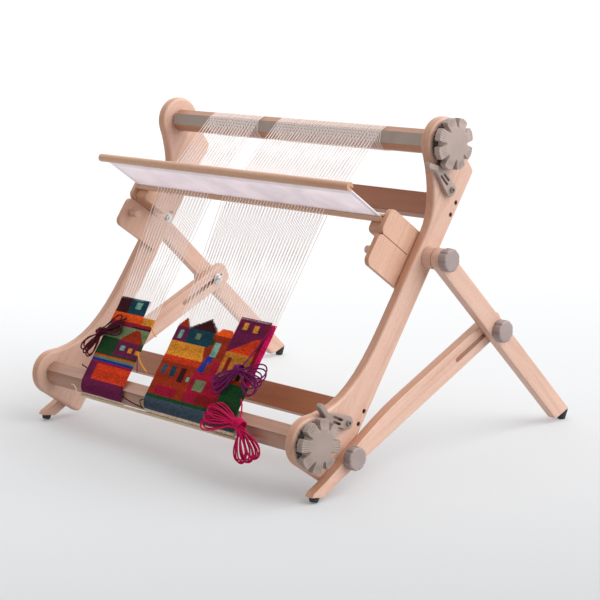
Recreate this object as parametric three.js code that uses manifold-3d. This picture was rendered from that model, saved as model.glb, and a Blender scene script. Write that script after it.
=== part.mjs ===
// A tilted tapestry loom on an adjustable folding stand, in millimetres, +Z up.
// +X runs along the beams to the weaver's right, +Y away from the weaver.
import * as THREE from 'three';
import Module from 'manifold-3d';
import { ConvexGeometry } from 'three/addons/geometries/ConvexGeometry.js';
import { mergeVertices } from 'three/addons/utils/BufferGeometryUtils.js';

const wasm = await Module();
wasm.setup();

// ---- Driving dimensions ----
const INNER_WIDTH = 660; // clear width between the two side frames
const FRAME_THICKNESS = 20;
const BRACE_THICKNESS = 18;
const LEG_THICKNESS = 18;
const GAP = 0.3; // clearance between neighbouring pieces
const LEAN = THREE.MathUtils.degToRad(53.2); // slope of the side frames from the floor
const HEEL = [-247.8, 4.7]; // (y, z) of the lower rear corner of a side frame, before rounding

// Places on a side frame: s runs up its straight rear edge from the heel, n forward from that edge.
const FRAME_TOP = 601.7; // s of the upper rear corner
const WAIST = 46.5; // width of the straight middle of the board
const WARP_BEAM_AT = [600.5, 93.5];
const CLOTH_BEAM_AT = [41.5, 94.5];
const UPPER_BOSS_RADIUS = 44.5;
const LOWER_BOSS_RADIUS = 42.5;
const BRACE_PIVOT = [55.8, 15.2];
const LEG_PIVOT = [421.8, 19.2];
const CROSSBARS = { upper: 520.2, lower: 125.2 }; // s of each crossbar's middle
const CROSSBAR = { width: 42.5, thickness: 19, setback: 2 };
const CROSSBAR_SCREW = { spacing: 23.4, radius: 4.2, depth: 9 };

// The stand.
const BRACE_ANGLE = THREE.MathUtils.degToRad(22.2);
const BRACE_SPAN = 389.8; // from the brace's pivot to the leg's bolt
const SLOT = { from: 286, to: 404, width: 9 };
const LEG_WIDTH = 37;
const SPACER_RADIUS = 19;
const BOLT_RADIUS = 4;
const BOLT_HOLE = BOLT_RADIUS + GAP;
const NUT = { acrossCorners: 15, thickness: 6.5 };
const WASHER = { radius: 10, thickness: 1.6 };
const KNOB = { radius: 20, lobe: 0.6, lobes: 8, thickness: 16, bore: 11 };
const FOOT = { base: 7, top: 9.5 };
const NOSE = [[-102, -8.5], [-80, -24.2]]; // the brace's sawn front end, along and across the brace
const REAR_FOOT_Y = 331.9;

// Beams, clamp strips and ratchets.
const OCTAGON_FLATS = 40;
// How far each beam's strip facet is turned from the frame's forward normal, and each handwheel on its stub.
const BEAM_TURN = { warp_beam: THREE.MathUtils.degToRad(22), cloth_beam: THREE.MathUtils.degToRad(-16.8) };
const WHEEL_TURN = { warp_beam: THREE.MathUtils.degToRad(9.3), cloth_beam: THREE.MathUtils.degToRad(23.3) };
const STRIP = { width: 21, rib: 11, lift: 1, top: 2.8, end: 3 }; // a rib holds its edges clear of the facet
const JOURNAL_RADIUS = 12.7;
const STUB = { radius: 7, end: 371 };
const GEAR = { teeth: 24, tip: 37, root: 34, thickness: 9 };
const WHEEL = { lobes: 8, tip: 44, notch: 33.5, thickness: 14, faceRadius: 27, faceRise: 1.6 };
const PAWL_ANGLE = THREE.MathUtils.degToRad(-20); // where its tooth meets the ratchet
const PAWL = { pivot: [61, -50], eye: 12, thickness: 7.5, tabRise: 2.5 };
const PAWL_SCREW = { head: 5.2, headHeight: 3, shank: 2, depth: 13 };

// Heddle brackets and reed.
const PLATE_THICKNESS = 9;
const BRACKET = { low: 349.5, split: 408.2, high: 455.5, front: 129, back: 14, splitWidth: 1.4 };
const REST = { low: 411, high: 447, front: 121, back: 52, thickness: 30 };
const PEG = { at: [381.5, 110], radius: 7, length: 21 };
const REED_AT = [435.5, 123.7];
const REED = { height: 105.2, barRadius: 7.5, topHalf: 323, bottomHalf: 320, bladeHalf: 316, blade: 2.2 };

// Warp and weaving: x ranges of the two groups at the cloth, the reed and the warp beam.
const WRAP_INNER = 25.4; // clears the beam with its clamp strip as it turns
const WRAP_TURN = 1.37; // radians that the cloth goes round its beam
const WARP_THICKNESS = 1.1;
const CLOTH_THICKNESS = 2.4;
const WARP_AT_REED = 9.8; // height of the warp over the reed's lower bar axis
const GROUPS = {
  left: { cloth: [-218, -101], reed: [-249, -100], beam: [-222, -86],
    skyline: [[-218, -136, 211], [-136, -101, 179]] },
  right: { cloth: [-38, 192], reed: [-67, 197], beam: [-38, 221],
    skyline: [[-38, -9, 184], [-9, 66, 196], [66, 104, 191], [104, 180, 218], [180, 192, 215]] },
};

// Yarn butterflies: a run of yarn from the cloth, then a bow of loops tied at the waist, at (x, s, n).
const YARN_RADIUS = 1.35;
const WAIST_OF_BOW = { width: 15, thickness: 12 };
const YARNS = {
  maroon: {
    color: 0x5c1226, run: [[-174, 169, 124.1], [-186, 160, 125.5], [-198, 148, 128.5], [-208, 138, 131]],
    waist: [-217, 131, 131],
    wings: [{ tip: [-166, 160, 130], width: 26 }, { tip: [-243, 84, 128], width: 44 }],
  },
  purple: {
    color: 0x5a1748,
    run: [[186, 211, 124.1], [183, 198, 124.2], [175, 170, 124.6], [168, 144, 127], [164, 132, 129]],
    waist: [162, 123, 131], wings: [{ tip: [117, 82, 130], width: 34 }, { tip: [231, 104, 130], width: 52 }],
  },
  magenta: {
    color: 0xb0104f, run: [[190, 76, 124.1], [197, 70, 126], [208, 58, 130], [216, 42, 132.5]],
    waist: [220, 32, 132], wings: [{ tip: [130, 33, 130], width: 40 }, { tip: [238, -15, 99], width: 46 }],
  },
};

// ---- Materials ----
const paint = (color, roughness, metalness = 0) =>
  new THREE.MeshStandardMaterial({ color, roughness, metalness });
const WOOD = 0xd9b79c;
const TAUPE = 0x8d8078;
const STEEL = 0xb9bcc0;
const RUBBER = 0x17161a;

// ---- Geometry helpers ----
// Turns an outline drawn in (y, z) and extruded along its normal so that the normal is +X.
const SIDEWAYS = new THREE.Matrix4().makeBasis(
  new THREE.Vector3(0, 1, 0), new THREE.Vector3(0, 0, 1), new THREE.Vector3(1, 0, 0));

function toSolid(geometry) {
  const bare = geometry.clone();
  bare.deleteAttribute('normal');
  bare.deleteAttribute('uv');
  const merged = mergeVertices(bare, 1e-4);
  return new wasm.Manifold(new wasm.Mesh({
    numProp: 3,
    vertProperties: new Float32Array(merged.attributes.position.array),
    triVerts: new Uint32Array(merged.index.array),
  }));
}

function toGeometry(solid) {
  const mesh = solid.getMesh();
  const geometry = new THREE.BufferGeometry();
  geometry.setAttribute('position', new THREE.BufferAttribute(new Float32Array(mesh.vertProperties), 3));
  geometry.setIndex(new THREE.BufferAttribute(new Uint32Array(mesh.triVerts), 1));
  geometry.computeVertexNormals();
  return geometry;
}

const cut = (body, ...tools) =>
  toGeometry(tools.reduce((solid, tool) => solid.subtract(toSolid(tool)), toSolid(body)));
const join = (body, ...others) =>
  toGeometry(others.reduce((solid, other) => solid.add(toSolid(other)), toSolid(body)));

// A board with the outline `shape` in (y, z), from x0 to x1, its edges rounded over by `round`.
function board(shape, x0, x1, round = 0, curveSegments = 10, bevelSegments = 2) {
  const points = shape.getPoints(curveSegments);
  const least = round > 0 ? 0.8 : 0.05; // closer points would cross over one another in the rounding
  const outline = points.filter((point, i) => point.distanceTo(points[(i + 1) % points.length]) > least);
  const geometry = new THREE.ExtrudeGeometry(new THREE.Shape(outline), {
    depth: x1 - x0 - 2 * round, curveSegments, bevelEnabled: round > 0,
    bevelThickness: round, bevelSize: round, bevelOffset: -round, bevelSegments,
  });
  return geometry.translate(0, 0, x0 + round).applyMatrix4(SIDEWAYS);
}

// A rod along X between x0 and x1 whose axis passes through (y, z).
function rod(radius, x0, x1, [y, z] = [0, 0], sides = 20) {
  const geometry = new THREE.CylinderGeometry(radius, radius, x1 - x0, sides);
  return geometry.rotateZ(-Math.PI / 2).translate((x0 + x1) / 2, y, z);
}

const polygon = (points) => new THREE.Shape(points.map(([a, b]) => new THREE.Vector2(a, b)));

// A rectangle from (y0, z0) to (y1, z1) with corners of radius r.
function roundedRectangle(y0, z0, y1, z1, r) {
  const shape = new THREE.Shape();
  shape.absarc(y1 - r, z0 + r, r, -Math.PI / 2, 0);
  shape.absarc(y1 - r, z1 - r, r, 0, Math.PI / 2);
  shape.absarc(y0 + r, z1 - r, r, Math.PI / 2, Math.PI);
  shape.absarc(y0 + r, z0 + r, r, Math.PI, Math.PI * 1.5);
  return shape;
}

// A place on a side frame, given as (s, n), in the object's own (y, z).
const onFrame = ([s, n]) => [
  HEEL[0] + s * Math.cos(LEAN) - n * Math.sin(LEAN),
  HEEL[1] + s * Math.sin(LEAN) + n * Math.cos(LEAN),
];

// ---- Scene groups: y and z of each are along and across its own boards ----
const loom = new THREE.Group();
const group = (angle, [y, z]) => {
  const made = new THREE.Group();
  made.rotation.x = angle;
  made.position.set(0, y, z);
  loom.add(made);
  return made;
};
const bracePivot = onFrame(BRACE_PIVOT);
const legPivot = onFrame(LEG_PIVOT);
const legBolt = [
  bracePivot[0] + BRACE_SPAN * Math.cos(BRACE_ANGLE),
  bracePivot[1] + BRACE_SPAN * Math.sin(BRACE_ANGLE),
];
const legAngle = Math.atan2(legBolt[1] - legPivot[1], legBolt[0] - legPivot[0]);
const legSpan = Math.hypot(legBolt[1] - legPivot[1], legBolt[0] - legPivot[0]);
const framePlane = group(LEAN, HEEL);
const bracePlane = group(BRACE_ANGLE, bracePivot);
const legPlane = group(legAngle, legPivot);
const warpBeamPlane = group(LEAN, onFrame(WARP_BEAM_AT));
const clothBeamPlane = group(LEAN, onFrame(CLOTH_BEAM_AT));

function add(parent, name, geometry, color, roughness = 0.6, metalness = 0) {
  const mesh = new THREE.Mesh(geometry, paint(color, roughness, metalness));
  mesh.name = name;
  parent.add(mesh);
}

// Each side's pieces are drawn for the right side and turned round by `side` for the left.
const SIDES = [['left', -1], ['right', 1]];
const span = (side, near, far) => (side > 0 ? [near, far] : [-far, -near]);

const frameInner = INNER_WIDTH / 2;
const frameOuter = frameInner + FRAME_THICKNESS;
const braceInner = frameOuter + GAP;
const braceOuter = braceInner + BRACE_THICKNESS;
const legInner = braceOuter + GAP;
const legOuter = legInner + LEG_THICKNESS;

// ---- Side frames ----
function frameOutline() {
  const [topS, topN] = WARP_BEAM_AT;
  const [lowS, lowN] = CLOTH_BEAM_AT;
  const shape = new THREE.Shape();
  shape.moveTo(14, 0);
  shape.lineTo(FRAME_TOP - 9, 0);
  shape.quadraticCurveTo(FRAME_TOP, 0, FRAME_TOP + 3, 9);
  shape.lineTo(FRAME_TOP + 7, 22);
  shape.quadraticCurveTo(FRAME_TOP + 9, 28, FRAME_TOP + 13, 33);
  shape.lineTo(topS + 34.6, topN - 28);
  shape.absarc(topS, topN, UPPER_BOSS_RADIUS, -0.68, 2.5);
  shape.bezierCurveTo(542, 88, 500, WAIST, 452, WAIST);
  shape.lineTo(278, WAIST);
  shape.bezierCurveTo(167, WAIST, 113, 70, 76.7, 120.8);
  shape.absarc(lowS + 1, lowN + 1, LOWER_BOSS_RADIUS, 0.62, Math.PI);
  shape.lineTo(0, 14);
  shape.quadraticCurveTo(0, 0, 14, 0);
  return shape;
}

function sideFrame(side) {
  const [x0, x1] = span(side, frameInner, frameOuter);
  const outer = side > 0 ? [x1 - CROSSBAR_SCREW.depth, x1 + 1] : [x0 - 1, x0 + CROSSBAR_SCREW.depth];
  const through = (radius, at) => rod(radius, x0 - 1, x1 + 1, at);
  const tools = [
    through(JOURNAL_RADIUS + GAP, WARP_BEAM_AT), through(JOURNAL_RADIUS + GAP, CLOTH_BEAM_AT),
    through(BOLT_HOLE, BRACE_PIVOT), through(BOLT_HOLE, LEG_PIVOT),
  ];
  const middle = CROSSBAR.setback + CROSSBAR.thickness / 2;
  for (const s of Object.values(CROSSBARS)) {
    for (const step of [-0.5, 0.5]) {
      tools.push(rod(CROSSBAR_SCREW.radius, ...outer, [s + step * CROSSBAR_SCREW.spacing, middle], 12));
    }
  }
  if (side > 0) {
    for (const [beamAt, flip] of [[WARP_BEAM_AT, -1], [CLOTH_BEAM_AT, 1]]) {
      const at = [beamAt[0] + flip * PAWL.pivot[0], beamAt[1] + PAWL.pivot[1]];
      tools.push(rod(PAWL_SCREW.shank + GAP, x1 - PAWL_SCREW.depth - 1, x1 + 1, at, 12));
    }
  }
  return cut(board(frameOutline(), x0, x1, 5.5, 9, 3), ...tools);
}

for (const [name, side] of SIDES) add(framePlane, `side_frame_${name}`, sideFrame(side), WOOD);

for (const [name, s] of Object.entries(CROSSBARS)) {
  const half = CROSSBAR.width / 2;
  const outline = roundedRectangle(
    s - half, CROSSBAR.setback, s + half, CROSSBAR.setback + CROSSBAR.thickness, 2);
  add(framePlane, `crossbar_${name}`, board(outline, -frameInner + GAP, frameInner - GAP, 0, 3), WOOD);
}

// ---- Stand: braces with their front feet, legs with their rear feet ----
function braceOutline() {
  const end = 421;
  const half = 21.5;
  const shape = new THREE.Shape();
  shape.moveTo(...NOSE[1]);
  shape.lineTo(-72, -24);
  shape.lineTo(-40, -half);
  shape.lineTo(end - 14, -half);
  shape.quadraticCurveTo(end, -half, end, -half + 14);
  shape.lineTo(end, half - 14);
  shape.quadraticCurveTo(end, half, end - 14, half);
  shape.lineTo(140, half);
  shape.bezierCurveTo(90, half, 10, 9, -30, 1);
  shape.lineTo(-70, -3.5);
  shape.lineTo(-95, -4.5);
  shape.lineTo(...NOSE[0]);
  return shape;
}

function slotShape(grow = 0) {
  const r = SLOT.width / 2 + grow;
  return roundedRectangle(SLOT.from - grow, -r, SLOT.to + grow, r, r - 0.01);
}

const legEnd = [[487, 18.5], [471.5, -11.5], [465, -18.5]]; // sawn end: rear corner, toe, front corner

function legOutline() {
  const half = LEG_WIDTH / 2;
  const shape = new THREE.Shape();
  shape.absarc(0, 0, half, Math.PI / 2, Math.PI * 1.5);
  for (const [along, across] of [...legEnd].reverse()) shape.lineTo(along, across);
  shape.lineTo(0, half);
  return shape;
}

// A tapered rubber foot standing on the floor under a sawn end whose line passes through (y, z).
function rubberFoot(x, [y, z], slope, tilt) {
  const height = 26;
  const cone = new THREE.CylinderGeometry(
    FOOT.base + (FOOT.top - FOOT.base) * height / 9, FOOT.base, height, 20);
  cone.rotateX(Math.PI / 2).translate(0, 0, height / 2).rotateX(tilt);
  cone.computeBoundingBox();
  const lowest = cone.boundingBox.min.z;
  const reach = -(z + lowest) / Math.cos(tilt); // slides the cone along its own axis down to the floor
  cone.translate(0, -Math.sin(tilt) * reach, z + Math.cos(tilt) * reach).translate(x, y, 0);
  const above = new THREE.BoxGeometry(60, 80, 60).translate(0, 0, 30 - GAP).rotateX(slope);
  return cut(cone, above.translate(x, y, z));
}

const rearFacet = (() => {
  const place = ([along, across]) => [
    legPivot[0] + along * Math.cos(legAngle) - across * Math.sin(legAngle),
    legPivot[1] + along * Math.sin(legAngle) + across * Math.cos(legAngle),
  ];
  const [rear, toe] = legEnd.slice(0, 2).map(place);
  const slope = Math.atan2(rear[1] - toe[1], rear[0] - toe[0]);
  return { slope, at: [REAR_FOOT_Y, toe[1] + (REAR_FOOT_Y - toe[0]) * Math.tan(slope)] };
})();
const noseSlope = BRACE_ANGLE + Math.atan2(NOSE[1][1] - NOSE[0][1], NOSE[1][0] - NOSE[0][0]);
const noseMiddle = [(NOSE[0][0] + NOSE[1][0]) / 2, (NOSE[0][1] + NOSE[1][1]) / 2];
const frontFootAt = [
  bracePivot[0] + noseMiddle[0] * Math.cos(BRACE_ANGLE) - noseMiddle[1] * Math.sin(BRACE_ANGLE),
  bracePivot[1] + noseMiddle[0] * Math.sin(BRACE_ANGLE) + noseMiddle[1] * Math.cos(BRACE_ANGLE),
];

for (const [name, side] of SIDES) {
  const [b0, b1] = span(side, braceInner, braceOuter);
  const [l0, l1] = span(side, legInner, legOuter);
  const brace = cut(board(braceOutline(), b0, b1, 2, 6),
    rod(BOLT_HOLE, b0 - 1, b1 + 1), board(slotShape(), b0 - 1, b1 + 1, 0, 5));
  add(bracePlane, `brace_${name}`, brace, WOOD);
  const leg = cut(board(legOutline(), l0, l1, 2.5, 10),
    rod(BOLT_HOLE, l0 - 1, l1 + 1), rod(BOLT_HOLE, l0 - 1, l1 + 1, [legSpan, 0]));
  add(legPlane, `leg_${name}`, leg, WOOD);
  const spacer = cut(rod(SPACER_RADIUS, b0, b1, [0, 0], 28), rod(BOLT_HOLE, b0 - 1, b1 + 1));
  add(legPlane, `leg_spacer_${name}`, spacer, WOOD);
  const frontFoot = rubberFoot((b0 + b1) / 2, frontFootAt, noseSlope, noseSlope);
  add(loom, `foot_front_${name}`, frontFoot, RUBBER, 0.8);
  const rearFoot = rubberFoot((l0 + l1) / 2, rearFacet.at, rearFacet.slope, 0);
  add(loom, `foot_rear_${name}`, rearFoot, RUBBER, 0.8);
}

// ---- Clamp knobs and bolts ----
function lobedOutline(radius, wave, lobes, pointsPerLobe) {
  const count = lobes * pointsPerLobe;
  return polygon(Array.from({ length: count }, (_, i) => {
    const angle = (i / count) * 2 * Math.PI;
    const r = radius + wave * Math.cos(lobes * angle);
    return [r * Math.cos(angle), r * Math.sin(angle)];
  }));
}

// A lobed knob whose back lies on the board's face at x = face, bored for the end of its bolt.
function knob(side, face) {
  const [x0, x1] = span(side, face + GAP, face + GAP + KNOB.thickness);
  const bore = side > 0 ? [x0 - 1, x0 + KNOB.bore] : [x1 - KNOB.bore, x1 + 1];
  return cut(board(lobedOutline(KNOB.radius - KNOB.lobe, KNOB.lobe, KNOB.lobes, 4), x0, x1, 1.5, 1, 1),
    rod(BOLT_HOLE, ...bore));
}

// A bolt with its nut and washer on the near face at x = near, reaching into a knob beyond x = far.
function clampBolt(side, near, far) {
  const washer = rod(WASHER.radius, ...span(side, near - GAP - WASHER.thickness, near - GAP));
  const nutFace = near - GAP - WASHER.thickness;
  const nut = rod(NUT.acrossCorners / 2, ...span(side, nutFace - NUT.thickness, nutFace + 0.5), [0, 0], 6);
  const shank = rod(BOLT_RADIUS, ...span(side, nutFace - NUT.thickness - 2.5, far));
  return join(washer, nut, shank);
}

for (const [name, side] of SIDES) {
  const knobEnd = KNOB.bore - 1 + GAP;
  const at = (geometry, y) => geometry.translate(0, y, 0);
  add(bracePlane, `brace_bolt_${name}`, clampBolt(side, frameInner, braceOuter + knobEnd), STEEL, 0.3, 1);
  add(bracePlane, `brace_knob_${name}`, knob(side, braceOuter), TAUPE, 0.55);
  add(legPlane, `leg_bolt_${name}`, clampBolt(side, frameInner, legOuter + knobEnd), STEEL, 0.3, 1);
  add(legPlane, `leg_knob_${name}`, knob(side, legOuter), TAUPE, 0.55);
  add(bracePlane, `slot_bolt_${name}`,
    at(clampBolt(side, braceInner, braceOuter - 1), BRACE_SPAN), STEEL, 0.3, 1);
  add(legPlane, `slot_knob_${name}`, at(knob(side, legOuter), legSpan), TAUPE, 0.55);
}

// ---- Beams: octagonal, with a clamp strip on the front facet and round journals in the frames ----
function beam(turn) {
  const corner = OCTAGON_FLATS / 2 / Math.cos(Math.PI / 8);
  const outline = polygon(Array.from({ length: 8 }, (_, i) => {
    const angle = turn + (i + 0.5) * Math.PI / 4;
    return [-corner * Math.sin(angle), corner * Math.cos(angle)];
  }));
  const journal = rod(JOURNAL_RADIUS, -frameOuter + 1, frameOuter + 1, [0, 0], 28);
  return join(board(outline, -frameInner + 2, frameInner - 2), journal, rod(STUB.radius, 0, STUB.end));
}

// A strip whose middle rib stands on the facet, so that the warp can be caught under its edges.
function clampStrip(turn) {
  const facet = OCTAGON_FLATS / 2;
  const half = frameInner - STRIP.end;
  const [wide, rib] = [STRIP.width / 2, STRIP.rib / 2];
  const outline = polygon([
    [-rib, facet + GAP], [rib, facet + GAP], [rib, facet + STRIP.lift], [wide, facet + STRIP.lift],
    [wide, facet + STRIP.top], [-wide, facet + STRIP.top],
    [-wide, facet + STRIP.lift], [-rib, facet + STRIP.lift],
  ]);
  return board(outline, -half, half).rotateX(turn);
}

// Tooth spaces are centred on the pawl's line of action, so the tooth sits in mesh.
function gearOutline() {
  const pitch = 2 * Math.PI / GEAR.teeth;
  const points = [];
  for (let i = 0; i < GEAR.teeth; i++) {
    const middle = PAWL_ANGLE + i * pitch;
    for (const [share, r] of [[-0.3, GEAR.root], [0.3, GEAR.root], [0.42, GEAR.tip], [0.58, GEAR.tip]]) {
      const angle = middle + share * pitch;
      points.push([r * Math.cos(angle), r * Math.sin(angle)]);
    }
  }
  return polygon(points);
}

function wheelOutline() {
  const profile = [[-0.35, WHEEL.tip], [-0.14, WHEEL.tip + 0.6], [0.14, WHEEL.tip + 0.6], [0.35, WHEEL.tip],
    [0.4, WHEEL.notch + 2.5], [0.5, WHEEL.notch], [0.6, WHEEL.notch + 2.5]];
  const points = [];
  for (let i = 0; i < WHEEL.lobes; i++) {
    for (const [share, r] of profile) {
      const angle = (i + share) * 2 * Math.PI / WHEEL.lobes;
      points.push([r * Math.cos(angle), r * Math.sin(angle)]);
    }
  }
  return polygon(points);
}

function pawlOutline(flip) {
  const [pu, pv] = PAWL.pivot;
  const radial = (r, across) => [
    r * Math.cos(PAWL_ANGLE) - across * Math.sin(PAWL_ANGLE),
    r * Math.sin(PAWL_ANGLE) + across * Math.cos(PAWL_ANGLE),
  ];
  const eye = [195, 225, 255, 285, 315, 345, 375].map((degrees) => {
    const angle = THREE.MathUtils.degToRad(degrees);
    return [pu + PAWL.eye * Math.cos(angle), pv + PAWL.eye * Math.sin(angle)];
  });
  const tooth = GEAR.root + 0.9;
  return polygon([
    radial(tooth, -0.7), radial(tooth + 6, -2.4), [43, -32], ...eye, [64, -24], [56, 0],
    [62.2, 22], [61, 26.4], [55.4, 28.2], [51.8, 26], [44.8, 5], radial(tooth + 8, 2.6), radial(tooth, 0.7),
  ].map(([u, v]) => [flip * u, v]));
}

const RATCHETS = [['warp_beam', warpBeamPlane, -1, 0x8a7f78], ['cloth_beam', clothBeamPlane, 1, WOOD]];
for (const [name, plane, flip, stripColor] of RATCHETS) {
  const gearFace = frameOuter + 1 + GAP;
  const wheelFace = gearFace + GEAR.thickness + GAP;
  const bore = (x0, x1) => rod(STUB.radius + GAP, x0, x1);
  const turned = flip > 0 ? 0 : Math.PI - 2 * PAWL_ANGLE; // brings a tooth space round to the mirrored pawl
  add(plane, name, beam(BEAM_TURN[name]), WOOD);
  add(plane, `${name}_clamp_strip`, clampStrip(BEAM_TURN[name]), stripColor, 0.5);
  const gear = board(gearOutline(), gearFace, gearFace + GEAR.thickness).rotateX(turned);
  add(plane, `${name}_ratchet`, cut(gear, bore(gearFace - 1, wheelFace)), 0x2a2624, 0.6);
  const wheel = board(wheelOutline(), wheelFace, wheelFace + WHEEL.thickness - WHEEL.faceRise, 1.2, 1, 1);
  const face = rod(WHEEL.faceRadius, wheelFace + 2, wheelFace + WHEEL.thickness, [0, 0], 32);
  add(plane, `${name}_handwheel`,
    cut(join(wheel, face), bore(wheelFace - 1, STUB.end + GAP)).rotateX(WHEEL_TURN[name]), TAUPE, 0.55);

  const pawlBack = gearFace;
  const at = [flip * PAWL.pivot[0], PAWL.pivot[1]];
  const plate = board(pawlOutline(flip), pawlBack, pawlBack + PAWL.thickness, 0.8, 1, 1);
  const tab = board(polygon([[46, 6.2], [54.4, 2.9], [61.2, 22.2], [60.2, 25.2], [55.4, 27.2], [52.6, 25.2]]
    .map(([u, v]) => [flip * u, v])), pawlBack + 2, pawlBack + PAWL.thickness + PAWL.tabRise);
  const pawl = cut(join(plate, tab), rod(PAWL_SCREW.shank + GAP, pawlBack - 1, legOuter, at, 12));
  add(plane, `${name}_pawl`, pawl, TAUPE, 0.55);
  const head = pawlBack + PAWL.thickness + GAP;
  add(plane, `${name}_pawl_screw`, join(
    rod(PAWL_SCREW.head, head, head + PAWL_SCREW.headHeight, at, 16),
    rod(PAWL_SCREW.shank, frameOuter - PAWL_SCREW.depth, head + 1, at, 12)), STEEL, 0.35, 1);
}

// ---- Heddle brackets ----
for (const [name, side] of SIDES) {
  const [p0, p1] = span(side, frameInner - GAP - PLATE_THICKNESS, frameInner - GAP);
  const [r0, r1] = span(side, frameInner - 2 * GAP - PLATE_THICKNESS - REST.thickness,
    frameInner - 2 * GAP - PLATE_THICKNESS);
  const lobes = join(
    board(roundedRectangle(BRACKET.low, BRACKET.back, BRACKET.split, BRACKET.front, 12), p0, p1, 0, 5),
    board(roundedRectangle(BRACKET.split, BRACKET.back, BRACKET.high, BRACKET.front - 1, 12), p0, p1, 0, 5),
    board(roundedRectangle(BRACKET.low, BRACKET.back, BRACKET.high, WAIST - 2, 3), p0, p1));
  const split = board(roundedRectangle(BRACKET.split - BRACKET.splitWidth / 2, WAIST + 2,
    BRACKET.split + BRACKET.splitWidth / 2, BRACKET.front + 20, 0.5), p0 - 1, p1 + 1, 0, 2);
  const bolt = rod(BOLT_HOLE + WASHER.radius, p0 - 1, p1 + 1, LEG_PIVOT);
  add(framePlane, `heddle_bracket_${name}`, cut(lobes, split, bolt), WOOD);
  const block = board(roundedRectangle(REST.low, REST.back, REST.high, REST.front, 9), r0, r1, 2, 4, 1);
  const seat = rod(REED.barRadius + 0.4, r0 - 1, r1 + 1, REED_AT, 24);
  const mouthOutline = roundedRectangle(
    REED_AT[0] - REED.barRadius - 0.4, REED_AT[1], REED_AT[0] + 40, REED_AT[1] + 20, 0.5);
  const mouth = board(mouthOutline, r0 - 1, r1 + 1, 0, 1);
  add(framePlane, `reed_rest_${name}`, cut(block, seat, mouth), WOOD);
  const pegEnd = frameInner - 2 * GAP - PLATE_THICKNESS;
  const peg = rod(PEG.radius, ...span(side, pegEnd - PEG.length, pegEnd), PEG.at);
  add(framePlane, `bracket_peg_${name}`, peg, WOOD);
}

// ---- Reed ----
{
  const [s, n] = REED_AT;
  const groove = 8; // depth of the slot along each bar that holds the blade
  const bar = (half, at, toward) => {
    const mouth = at[1] + toward * (REED.barRadius + 5);
    const floor = at[1] + toward * (REED.barRadius - groove);
    const slot = roundedRectangle(at[0] - REED.blade / 2 - GAP, Math.min(mouth, floor),
      at[0] + REED.blade / 2 + GAP, Math.max(mouth, floor), 0.4);
    return cut(rod(REED.barRadius, -half, half, at, 24), board(slot, -half - 1, half + 1, 0, 1));
  };
  add(framePlane, 'reed_bottom_bar', bar(REED.bottomHalf, [s, n], 1), 0xa98468);
  add(framePlane, 'reed_top_bar', bar(REED.topHalf, [s, n + REED.height], -1), 0xa98468);
  const low = n + REED.barRadius - groove + GAP;
  const high = n + REED.height - REED.barRadius + groove - GAP;
  const blade = new THREE.BoxGeometry(2 * REED.bladeHalf, REED.blade, high - low)
    .translate(0, s, (low + high) / 2);
  const middle = n + WARP_AT_REED + WARP_THICKNESS / 2;
  const windows = Object.values(GROUPS).map(({ reed: [x0, x1] }) =>
    new THREE.BoxGeometry(x1 - x0 + 6, 10, 9).translate((x0 + x1) / 2, s, middle));
  add(framePlane, 'reed_blade', cut(blade, ...windows), 0xece6ec, 0.5);
}

// ---- Warp, wound warp and tapestry ----
// A flat band through stations [s, n, x0, x1], `thickness` thick on its front.
function band(stations, thickness) {
  const points = stations.flatMap(([s, n, x0, x1]) =>
    [[x0, s, n], [x1, s, n], [x1, s, n + thickness], [x0, s, n + thickness]]);
  const faces = [[0, 1, 2], [0, 2, 3]];
  const last = (stations.length - 1) * 4;
  faces.push([last, last + 2, last + 1], [last, last + 3, last + 2]);
  for (let k = 0; k < stations.length - 1; k++) {
    for (let i = 0; i < 4; i++) {
      const a = k * 4 + i;
      const b = k * 4 + (i + 1) % 4;
      faces.push([a, a + 4, b], [b, a + 4, b + 4]);
    }
  }
  const geometry = new THREE.BufferGeometry();
  geometry.setAttribute('position', new THREE.Float32BufferAttribute(points.flat(), 3));
  geometry.setIndex(faces.flat());
  return geometry;
}

const clothBack = CLOTH_BEAM_AT[1] + WRAP_INNER;
const clothBox = (x0, x1, s0, s1, n0, n1) =>
  new THREE.BoxGeometry(x1 - x0, s1 - s0, n1 - n0).translate((x0 + x1) / 2, (s0 + s1) / 2, (n0 + n1) / 2);

// The woven panel: straight above the cloth beam, then wrapped under it.
function tapestry({ cloth: [x0, x1], skyline }) {
  const wrap = new THREE.Shape();
  const [s, n] = CLOTH_BEAM_AT;
  wrap.moveTo(s + 10, clothBack);
  const end = Math.PI / 2 + WRAP_TURN;
  wrap.absarc(s, n, WRAP_INNER, Math.PI / 2, end);
  wrap.absarc(s, n, WRAP_INNER + CLOTH_THICKNESS, end, Math.PI / 2, true);
  wrap.lineTo(s + 10, clothBack + CLOTH_THICKNESS);
  const columns = skyline.map(([a, b, top]) =>
    clothBox(a, b, s + 5, top, clothBack, clothBack + CLOTH_THICKNESS));
  return join(board(wrap, x0, x1, 0, 10), ...columns);
}

// The stretched warp, from the cloth's skyline through the reed to the warp beam.
function warp({ cloth, reed, beam: wound, skyline }) {
  const back = clothBack + (CLOTH_THICKNESS - WARP_THICKNESS) / 2;
  const tallest = Math.max(...skyline.map(([, , top]) => top)) + GAP;
  const main = band([
    [tallest, back, ...cloth],
    [tallest + 4, back, ...cloth],
    [REED_AT[0], REED_AT[1] + WARP_AT_REED, ...reed],
    [WARP_BEAM_AT[0] - 1, WARP_BEAM_AT[1] + WRAP_INNER + WARP_THICKNESS + 2 * GAP, ...wound],
  ], WARP_THICKNESS);
  const columns = skyline.filter(([, , top]) => top + 2 < tallest).map(([a, b, top]) =>
    clothBox(a + (a > cloth[0] ? GAP : 0), b - GAP, top + GAP, tallest + 2, back, back + WARP_THICKNESS));
  return columns.length ? join(main, ...columns) : main;
}

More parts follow.
